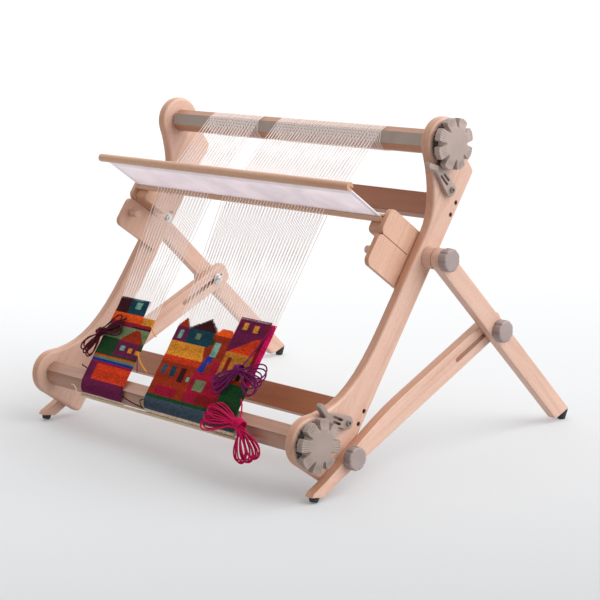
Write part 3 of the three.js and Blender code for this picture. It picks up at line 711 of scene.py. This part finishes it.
def make_frame_screws(dark, bronze):
    """The crossbars' dark socket screws, in the side frames' counterbores, and the pawls' screws."""
    recess, radius, height = 6.0, 3.9, 4.8
    pin_radius, pin_height = 5.2, 14
    for side, out in (("left", -1), ("right", 1)):
        _, _, face = middle_of(f"side_frame_{side}")
        for bar, s in CROSSBAR_MIDDLES.items():
            for place_name, step in (("lower", -0.5), ("upper", 0.5)):
                at = place(0, s + step * SCREW_SPACING, SCREW_SETBACK) / MM
                socket_screw(at.yz, out * (face - recess), out, radius, height, dark,
                             f"{bar}_bar_{place_name}_screw_{side}")
    for beam in ("warp_beam", "cloth_beam"):
        middle, _, far = middle_of(f"{beam}_pawl_screw")
        base = far - pin_height
        head = socket_screw(middle.yz, base, 1, pin_radius, pin_height, bronze, f"{beam}_pawl_pin")
        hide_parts(f"{beam}_pawl_screw")


def ray(length, angle):
    return length * Vector((math.cos(angle), math.sin(angle)))


def rounded_corners(corners):
    """An outline whose corners (u, v, radius) are turned on arcs."""
    outline = []
    for i, (u, v, radius) in enumerate(corners):
        here = Vector((u, v))
        back = (Vector(corners[i - 1][:2]) - here).normalized()
        onward = (Vector(corners[(i + 1) % len(corners)][:2]) - here).normalized()
        if not radius:
            outline.append(here)
            continue
        reach = radius / math.tan(max(0.05, back.angle(onward) / 2))
        start, end = here + back * reach, here + onward * reach
        for k in range(ARC_STEPS + 1):
            t = k / ARC_STEPS
            outline.append(start.lerp(here, t).lerp(here.lerp(end, t), t))
    return outline


def slot_outline(start, end, half_width):
    """A round-ended slot between two points."""
    start, end = Vector(start), Vector(end)
    angle = math.atan2(*(end - start).yx)
    outline = []
    for middle, turn in ((end, angle - math.pi / 2), (start, angle + math.pi / 2)):
        for k in range(ARC_STEPS + 1):
            outline.append(middle + ray(half_width, turn + math.pi * k / ARC_STEPS))
    return outline


def plate_part(outlines, low, high, bevel, at):
    """Points and faces of a bevelled plate with holes, made flat in (u, v) and placed by at(u, v, x)."""
    data = bpy.data.curves.new("outline", "CURVE")
    data.dimensions = "2D"
    data.fill_mode = "BOTH"
    data.extrude = (high - low) / 2 - bevel
    data.bevel_depth = bevel
    data.bevel_resolution = 2
    data.offset = -bevel
    for outline in outlines:
        spline = data.splines.new("POLY")
        spline.points.add(len(outline) - 1)
        spline.use_cyclic_u = True
        for point, (u, v) in zip(spline.points, outline):
            point.co = (u, v, 0, 1)
    flat = add_object("outline", data)
    bpy.context.view_layer.update()
    mesh = bpy.data.meshes.new_from_object(flat.evaluated_get(bpy.context.evaluated_depsgraph_get()))
    welded = bmesh.new()
    welded.from_mesh(mesh)
    bmesh.ops.remove_doubles(welded, verts=welded.verts, dist=1e-4)
    welded.to_mesh(mesh)
    welded.free()
    points = [at(v.co.x, v.co.y, (low + high) / 2 + v.co.z) for v in mesh.vertices]
    faces = [tuple(face.vertices) for face in mesh.polygons]
    bpy.data.objects.remove(flat)
    bpy.data.curves.remove(data)
    bpy.data.meshes.remove(mesh)
    return points, faces


def make_pawls(plastics):
    """Each pawl: a slim slotted arm from its screw's eye to the tooth, with a raised boss and finger tab."""
    pivot = Vector((61, -50))
    eye = [(*(pivot + ray(12, math.radians(200 + 14 * k))), 0) for k in range(13)]
    arm = rounded_corners([
        (34.0, -11.7, 0.3), (39.4, -15.9, 2), (43.5, -27, 5), (47.8, -41, 5), *eye, (68.5, -34, 5),
        (60.5, -14, 5), (56.4, 0.5, 4), (62.4, 22, 2), (60.6, 26.6, 2), (55.2, 28.4, 2), (51.6, 25.6, 2),
        (45.0, 4.5, 6), (41.5, -9.4, 2), (34.6, -10.2, 0.3)])
    slots = [slot_outline((51.4, -34), (48.9, -19), 2.2), slot_outline((59.0, -35), (55.4, -14), 2.2)]
    tab = rounded_corners([(46.4, 5.9, 1.5), (54.8, 2.8, 1.5), (61.9, 22.4, 1.6), (60.6, 26.0, 1.6),
                           (53.6, 28.2, 1.6)])
    boss = [pivot + ray(9.2, math.pi * k / 16) for k in range(32)]
    hole = [pivot + ray(2.3, math.pi * k / 8) for k in range(16)]
    for beam, centre, flip in (("warp_beam", WARP_BEAM, -1), ("cloth_beam", CLOTH_BEAM, 1)):
        _, near, _ = middle_of(f"{beam}_pawl")

        def at(u, v, x, near=near, centre=centre, flip=flip):
            return place(near + x, centre[0] + flip * u, centre[1] + v)

        parts = [plate_part([arm, hole, *slots], 0, 7, 0.7, at),
                 plate_part([boss, hole], 4, 7.5, 0.6, at),
                 plate_part([tab], 2, 10, 0.9, at)]
        piece = new_piece(f"{beam}_catch", *gather(parts), plastics[beam],
                          f"{beam}_pawl", slot="taupe_plastic")
        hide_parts(f"{beam}_pawl")


# -------- warp threads
def skyline_left(x):
    return 211 if x < -136 else 179


def skyline_right(x):
    """Top of the right panel, in s, across the loom: a gable, a pitched roof, a hipped roof and a tower."""
    if x < -9:
        return 196 - 1.15 * max(0, abs(x + 22) - 1)
    if x < 66:
        return 203 - (0.5 * (38 - x) if x < 38 else 0.75 * (x - 38))
    if x < 104:
        return 191 - 0.9 * max(0, abs(x - 86) - 11)
    return 218 if x < 180 else 215


GROUPS = {
    "left": {"cloth": (-218, -101), "reed": (-249, -100), "beam": (-222, -86), "top": skyline_left},
    "right": {"cloth": (-38, 192), "reed": (-67, 197), "beam": (-38, 221), "top": skyline_right},
}


def beam_hull():
    """The octagon with its clamp strip, as the wound threads bridge it, in (s, n) about the beam's axis."""
    corner = BEAM_HALF / math.cos(math.pi / 8)
    out = Vector((-math.sin(FACET_TILT), math.cos(FACET_TILT)))
    up = Vector((math.cos(FACET_TILT), math.sin(FACET_TILT)))
    hull = [out * STRIP_TOP - up * STRIP_HALF, out * STRIP_TOP + up * STRIP_HALF]
    for k in range(1, 7):
        angle = math.radians(22.5 + 45 * k)
        hull.append(corner * (math.cos(angle) * out + math.sin(angle) * up))
    return hull


def wound_turn(x, slip, radius):
    """One turn of thread round the beam, stepping sideways by slip."""
    hull = beam_hull()
    rings = []
    for k, spot in enumerate(hull):
        spot = spot + spot.normalized() * radius
        before, after = hull[k - 1], hull[(k + 1) % len(hull)]
        lateral = (after - before).normalized()
        normal = Vector((lateral.y, -lateral.x))
        if normal.dot(spot) < 0:
            normal = -normal
        share = abs(k / len(hull) - 0.5)
        ring = []
        for j in range(THREAD_SIDES):
            angle = 2 * math.pi * j / THREAD_SIDES
            moved = spot + normal * radius * math.cos(angle)
            ring.append(place(x + slip * (share - 0.25) + radius * math.sin(angle),
                              WARP_BEAM[0] + moved.x, WARP_BEAM[1] + moved.y))
        rings.append(ring)
    faces = []
    for i in range(len(rings)):
        onward = (i + 1) % len(rings)
        for j in range(THREAD_SIDES):
            beside = (j + 1) % THREAD_SIDES
            corners = (i, j), (i, beside), (onward, beside), (onward, j)
            faces.append(tuple(r * THREAD_SIDES + q for r, q in corners))
    return [point for ring in rings for point in ring], faces


def make_warp(cotton):
    for side, group in GROUPS.items():
        cloth, reed, beam = group["cloth"], group["reed"], group["beam"]
        count = round((cloth[1] - cloth[0]) / THREAD_PITCH)
        free, wound = [], []
        for i in range(count):
            share = (i + 0.5) / count
            stray = 0.5 * noise.noise(Vector((i * 1.7, 3.1, 0.4)))
            low = cloth[0] + share * (cloth[1] - cloth[0])
            middle = reed[0] + share * (reed[1] - reed[0]) + stray
            high = beam[0] + share * (beam[1] - beam[0]) + 2.2 * stray
            shed = HOLE_SHED if i % 2 else SLOT_SHED
            route = [(low, group["top"](low) - 4, CLOTH_FRONT - 1.2), (middle, REED[0], REED[1] + shed),
                     (high, WARP_BEAM[0] + LEAVING[0], WARP_BEAM[1] + LEAVING[1])]
            free.append(tube([place(*at) for at in route], THREAD_RADIUS * MM, THREAD_SIDES))
            wound.append(wound_turn(high, WOUND_SLIP, WOUND_RADIUS))
        piece = new_piece(f"warp_threads_{side}", *gather(free), cotton, "loom", slot="cotton_warp")
        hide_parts(f"warp_{side}")
        piece = new_piece(f"wound_threads_{side}", *gather(wound), cotton, "warp_beam", slot="cotton_warp")
        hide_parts(f"wound_warp_{side}")


# -------- tapestries
WOOLS = {name: srgb(code) for name, code in {
    "plum": "6c1a4a", "orange_red": "d84018", "crimson": "a81038", "royal": "223ca4", "sage": "7a8e64",
    "orange": "f05e18", "green": "164420", "teal": "0e4252", "pale_teal": "84bcae", "mustard": "e49a30",
    "brick": "a23214", "maroon": "380a12", "slate": "405060", "magenta": "d81064", "cream": "d8c6ae",
    "bronze": "c88430", "dark_red": "8c141a",
}.items()}


def block(x0, x1, s0, s1):
    return [(x0, s0), (x1, s0), (x1, s1), (x0, s1)]


def band(s0, s1):
    """A stripe that crosses either panel from edge to edge."""
    return block(-230, 200, s0, s1)


# What is woven into each panel, later shapes over earlier ones: plain fields, stripes and simple houses.
PICTURES = {
    "left": [
        ("plum", band(-20, 230)), ("cream", band(-20, 14.5)),
        ("orange_red", block(-196, -90, 44, 75)), ("crimson", band(75, 78.5)),
        ("royal", band(78.5, 84)), ("sage", band(84, 90)),
        ("orange_red", band(90, 93)), ("green", band(93, 128)),
        ("sage", band(128, 154)), ("plum", block(-168, -106, 97, 126)),
        ("brick", [(-171, 126), (-103, 126), (-124, 151), (-137, 151)]),
        ("pale_teal", block(-156, -144, 108, 118)), ("mustard", block(-134, -123, 106, 116)),
        ("mustard", block(-113, -90, 105, 114)), ("maroon", block(-150, -90, 154, 158)),
        ("crimson", band(158, 163)), ("orange", band(163, 179)),
        ("mustard", block(-131, -90, 163, 180)), ("maroon", block(-230, -184, 179, 230)),
        ("teal", block(-184, -130, 179, 230)), ("pale_teal", block(-168, -152, 191, 204)),
    ],
    "right": [
        ("brick", band(-20, 230)), ("cream", band(-20, 17)),
        ("slate", band(17, 40)), ("green", band(40, 46)),
        ("crimson", block(-22, 32, 46, 64)), ("crimson", block(54, 135, 46, 104)),
        ("dark_red", block(84, 135, 46, 66)), ("green", block(135, 200, 46, 98)),
        ("slate", block(-28, -15, 86, 104)), ("teal", block(-4, 9, 84, 104)),
        ("maroon", block(20, 35, 78, 104)), ("pale_teal", block(42, 50, 82, 90)),
        ("sage", block(66, 92, 70, 90)), ("orange_red", block(-50, 60, 110, 122)),
        ("mustard", [(-50, 122), (61, 122), (50, 150), (-24, 150)]),
        ("plum", block(-50, -4, 150, 178)), ("mustard", [(-50, 122), (-24, 150), (-50, 150)]),
        ("pale_teal", block(-26, -16, 156, 172)), ("brick", block(-50, -8, 178, 230)),
        ("teal", block(-4, 60, 150, 178)), ("sage", block(18, 30, 160, 172)),
        ("maroon", block(-9, 66, 178, 230)), ("brick", block(60, 108, 104, 176)),
        ("royal", [(56, 104), (74, 104), (74, 124), (84, 124), (80, 136), (68, 136)]),
        ("pale_teal", block(72, 86, 136, 162)), ("green", block(60, 68, 156, 168)),
        ("crimson", block(88, 108, 104, 128)), ("orange", block(62, 106, 176, 230)),
        ("plum", block(104, 200, 150, 230)), ("bronze", block(106, 172, 104, 152)),
        ("orange_red", [(108, 152), (176, 152), (176, 186), (160, 182)]),
        ("dark_red", block(116, 126, 116, 142)), ("teal", block(138, 147, 106, 128)),
        ("maroon", block(155, 165, 104, 132)), ("mustard", block(118, 129, 196, 209)),
        ("mustard", block(144, 156, 194, 207)), ("dark_red", block(172, 181, 98, 212)),
        ("magenta", block(181, 200, 98, 230)),
    ],
}


BEAD_TONE, ROW_TONE = 0.55, 0.12  # how far the wool's tone wanders from bead to bead and row to row


def inside(outline, x, s):
    """Whether each place lies in an outline."""
    within = np.zeros(x.shape, bool)
    for (x0, s0), (x1, s1) in zip(outline, outline[1:] + outline[:1]):
        if s0 != s1:
            crosses = (s0 > s) != (s1 > s)
            within ^= crosses & (x < x0 + (s - s0) * (x1 - x0) / (s1 - s0))
    return within


def on_cloth(x, s, height):
    """A place on the cloth: flat in front of the loom, then wrapped under the cloth beam."""
    radius = WRAP_INNER + height
    if s >= CLOTH_BEAM[0]:
        return place(x, s, CLOTH_BEAM[1] + radius)
    angle = (CLOTH_BEAM[0] - s) / (WRAP_INNER + CLOTH_THICKNESS / 2)
    return place(x, CLOTH_BEAM[0] - radius * math.sin(angle), CLOTH_BEAM[1] + radius * math.cos(angle))


def scattered(a, b):
    """A number from 0 to 1 that looks random and is fixed by two counts."""
    return math.sin(a * 127.1 + b * 311.7) * 43758.5453 % 1


def make_tapestry(side, material):
    """A weft-faced panel: rows of beads, each over every second warp thread, packed hard together."""
    group = GROUPS[side]
    x0, x1 = group["cloth"]
    threads = round((x1 - x0) / THREAD_PITCH)
    columns = 2 * threads
    step_x, step_s = (x1 - x0) / columns, WEFT_PITCH / 2
    low = CLOTH_BEAM[0] - WRAP_TURN * (WRAP_INNER + CLOTH_THICKNESS / 2)
    rows = int((max(group["top"](x0 + i * step_x) for i in range(columns)) - low) / step_s) + 1
    tops = [group["top"](x0 + (i // 2 * 2 + 1) * step_x) for i in range(columns)]
    filled = {(i, j) for i in range(columns) for j in range(rows)
              if low + (j // 2 * 2 + 2) * step_s <= tops[i]}

    def corner(i, j, front):
        x, s = x0 + i * step_x, low + j * step_s
        edge = max(0, 1 - min(i, columns - i) / 5)
        sway = 0.9 * edge * noise.noise(Vector((s * 0.05, side == "left", 7.0)))
        if not front:
            return on_cloth(x + sway, s, 0.3)
        bead = 0.32 * math.sin(math.pi * (i + 0.5) + math.pi * (j // 2)) * (1 if j % 2 else 0.1)
        rows_apart = 0.3 * (1 if j % 2 else -1)
        swell = 0.5 * noise.noise(Vector((x * 0.03, s * 0.04, 1.0)))
        thin = 0.7 * max(0, 1 - min(i, columns - i) / 2)
        return on_cloth(x + sway, s, CLOTH_THICKNESS - 0.6 + bead + rows_apart + swell - thin)

    points, faces = [], []
    index = {}

    def spot(i, j, front):
        key = (i, j, front)
        if key not in index:
            index[key] = len(points)
            points.append(corner(i, j, front))
        return index[key]

    for i, j in sorted(filled):
        square = [(i, j), (i + 1, j), (i + 1, j + 1), (i, j + 1)]
        faces.append(tuple(spot(*at, True) for at in square))
        faces.append(tuple(spot(*at, False) for at in reversed(square)))
        beside = [(i, j - 1), (i + 1, j), (i, j + 1), (i - 1, j)]
        for k, other in enumerate(beside):
            if other not in filled:
                a, b = square[k], square[(k + 1) % 4]
                faces.append((spot(*b, True), spot(*a, True), spot(*a, False), spot(*b, False)))
    keys = sorted(index, key=index.get)
    x = np.array([x0 + (i + 0.35 * math.sin(j * 2.1)) * step_x for i, j, _ in keys])
    s = np.array([low + j * step_s for _, j, _ in keys])
    color = np.zeros((len(keys), 4), np.float32)
    for wool, outline in PICTURES[side]:
        color[inside(outline, x, s)] = (*WOOLS[wool], 1)
    beads = np.array([scattered(i // 2, j // 2) for i, j, _ in keys])
    rows_tone = np.array([math.sin((j // 2) * 12.9898) for _, j, _ in keys])
    color[:, :3] *= (1 + BEAD_TONE * (beads - 0.5) + ROW_TONE * rows_tone)[:, None]
    piece = new_piece(f"woven_panel_{side}", points, faces, material, "loom", slot="tapestry_wool")
    layer = piece.data.color_attributes.new("wool", "FLOAT_COLOR", "POINT")
    layer.data.foreach_set("color", color.ravel())
    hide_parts(f"tapestry_{side}")


# Loose weft ends: each one's wool and its route in (x, s, n), in mm.
WEFT_ENDS = {
    "left": {
        "mustard_upper": ("mustard", [(-103, 166, 123.4), (-96, 160, 124.6), (-84, 151, 125),
                                      (-76, 147, 124)]),
        "mustard_lower": ("mustard", [(-104, 112, 123.4), (-96, 104, 124.8), (-80, 92, 125),
                                      (-58, 80, 124)]),
        "plum": ("plum", [(-104, 104, 123.4), (-96, 98, 124.8), (-88, 88, 125.4), (-81, 75, 124)]),
        "tie_upper": ("cream", [(-215, 14, 123), (-224, 20, 121.5), (-235, 24, 118.5), (-246, 25, 115)]),
        "tie_lower": ("cream", [(-214, 9, 122), (-224, 6, 120), (-234, 3, 117), (-243, 3, 114)]),
        "brown": ("maroon", [(-216, 60, 123), (-224, 62, 124), (-232, 63, 122), (-238, 66, 119)]),
        "maroon": ("maroon", [(-103, 44, 123.6), (-96, 38, 126), (-86, 27, 125), (-62, 21, 122.5),
                              (-28, 17, 122)]),
    },
    "right": {
        "green": ("green", [(-36, 32, 122.5), (-40, 28, 124.5), (-36, 22, 124), (-27, 16, 122)]),
    },
}


def make_tapestries():
    material = spun("tapestry_wool", (0.4, 0.1, 0.1), 1400, 0.2, "wool")
    cream = spun("heading_cotton", WOOLS["cream"], 1500, 0.12)
    for side in GROUPS:
        for name, (wool, route) in WEFT_ENDS[side].items():
            line = [place(*at) for at in rounded(route, 5)]
            strand = tube(line, YARN_RADIUS * 0.8 * MM, 6)
            fibre = spun(f"{name}_end", WOOLS[wool], 1500, 0.2)
            new_piece(f"weft_end_{name}", *strand, fibre, "loom", slot="tapestry_wool")
        if side == "right":
            make_heading_cord(cream)
        make_tapestry(side, material)


def make_heading_cord(material):
    """A three-strand twisted cord that runs along the cloth beam from one panel's heading to the other's."""
    x0, x1, strand, turn_length, twist, lift, step = -222.0, 196.0, 1.5, 10.0, 1.5, 1.6, 1.5
    parts = []
    count = int((x1 - x0) / step)
    for k in range(3):
        line = []
        for i in range(count + 1):
            x = x0 + (x1 - x0) * i / count
            angle = 2 * math.pi * (x / turn_length + k / 3)
            line.append(on_cloth(x, HEADING + twist * math.cos(angle),
                                 CLOTH_THICKNESS + lift + twist * math.sin(angle)))
        parts.append(tube(line, strand * MM, 6))
    return new_piece("heading_cord", *gather(parts), material, "loom", slot="cotton_warp")


# -------- reed
def make_reed(plastic):
    """The heddle comb: a solid white strip along each bar, and fine bars between them."""
    high = Vector(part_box("reed_blade")[1]) / MM
    bottom, top = REED[1] - 0.2, REED[1] + REED_HEIGHT + 0.2
    half, thick, bar, bar_thick = high.x, 1.9, 1.5, 1.5
    foot, head, margin, tuck = 9.3, 26, 12, 0.5

    def slab(x0, x1, n0, n1, thickness, bevel=0.25):
        t = thickness / 2
        rings = []
        for n, inset in ((n0, bevel), (n0 + bevel, 0), (n1 - bevel, 0), (n1, bevel)):
            section = ((x0 + inset, -t), (x0, -t + inset), (x0, t - inset), (x0 + inset, t),
                       (x1 - inset, t), (x1, t - inset), (x1, -t + inset), (x1 - inset, -t))
            rings.append([place(x, REED[0] + s, n) for x, s in section])
        return lofted(rings)

    parts = [slab(-half, half, bottom, bottom + foot, thick),
             slab(-half, half, top - head, top, thick)]
    count = int(2 * (half - margin) / THREAD_PITCH)
    for i in range(count + 1):
        x = -half + margin + i * THREAD_PITCH
        parts.append(slab(x - bar / 2, x + bar / 2, bottom + 9, top - head + tuck, bar_thick, 0.2))
    for side in (-1, 1):
        x0, x1 = sorted((side * half, side * (half - 11)))
        parts.append(slab(x0, x1, bottom + 9, top - head + tuck, thick))
    piece = new_piece("reed_comb", *gather(parts), plastic, "reed", smooth=False, slot="reed_plastic")
    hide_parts("reed_blade")


# -------- materials of the CAD's own pieces
def dress_cad():
    """Woods, plastics, metal and rubber of the CAD's pieces. Gives back the dark plastic, for the screws."""
    seeds = iter(range(1, 40))

    def board(name, label, along, tone, edge_shade=1.0):
        finish_cad(name, wood(label, along, tone, next(seeds), edge_shade))

    for side in ("left", "right"):
        # The side frames, brackets, rests and braces get painted shade on their narrow faces.
        board(f"side_frame_{side}", f"frame_beech_{side}", sloped(FRAME_SLOPE), BEECH, EDGE_SHADE)
        for name in (f"heddle_bracket_{side}", f"reed_rest_{side}"):
            board(name, f"{name}_beech", sloped(FRAME_SLOPE), WARM_BEECH, EDGE_SHADE)
        board(f"brace_{side}", f"brace_beech_{side}", sloped(BRACE_SLOPE), BEECH, 0.9)
        board(f"leg_{side}", f"leg_beech_{side}", sloped(LEG_SLOPE), BEECH)
        for name in (f"leg_spacer_{side}", f"bracket_peg_{side}"):
            board(name, f"{name}_beech", ALONG_X, BEECH)
    # The beams, crossbars and the cloth beam's strip take darker tones that hold painted shade.
    for name, tone in (SHADED_BAR_BEECH | SHADED_BEAM_BEECH).items():
        board(name, f"{name}_beech", ALONG_X, tone)
    board("cloth_beam_clamp_strip", "clamp_strip_beech", ALONG_X, SHADED_BEAM_BEECH["cloth_beam"])
    for name in ("reed_bottom_bar", "reed_top_bar"):
        finish_cad(name, wood(f"{name}_wood", ALONG_X, srgb("cda284"), next(seeds)), 50)
    finish_cad("warp_beam_clamp_strip", moulded("strip_plastic", srgb("a3968c"), 0.4))
    dark = moulded("ratchet_plastic", srgb("2c2320"), 0.5)
    steel, black = zinc("zinc"), rubber("foot_rubber")
    for beam in ("warp_beam", "cloth_beam"):
        finish_cad(f"{beam}_ratchet", dark)
    for side in ("left", "right"):
        for name in ("brace_bolt", "leg_bolt", "slot_bolt"):
            finish_cad(f"{name}_{side}", steel)
        for name in ("foot_front", "foot_rear"):
            finish_cad(f"{name}_{side}", black)
    return dark


make_camera()
make_butterflies()
make_stage()
dark_plastic = dress_cad()
# The cloth beam's wheel and pawl take a darker copy of the same taupe plastic, as painted shade.
taupes = {"warp_beam": moulded("taupe_plastic", srgb("a4938b")),
          "cloth_beam": moulded("shaded_taupe", srgb("95857d"))}
make_handwheels(taupes)
make_knobs(moulded("knob_taupe", srgb("9a8a87"), 0.45))
make_pawls(taupes)
make_frame_screws(dark_plastic, moulded("bronzed_screw", srgb("7e6e66"), 0.35))
make_warp(spun("cotton_thread", srgb("fff6f3"), 1800, 0.05))
make_tapestries()
make_reed(moulded("reed_white", srgb("f4ecf2"), 0.4))
bpy.context.scene.view_settings.view_transform = "Standard"
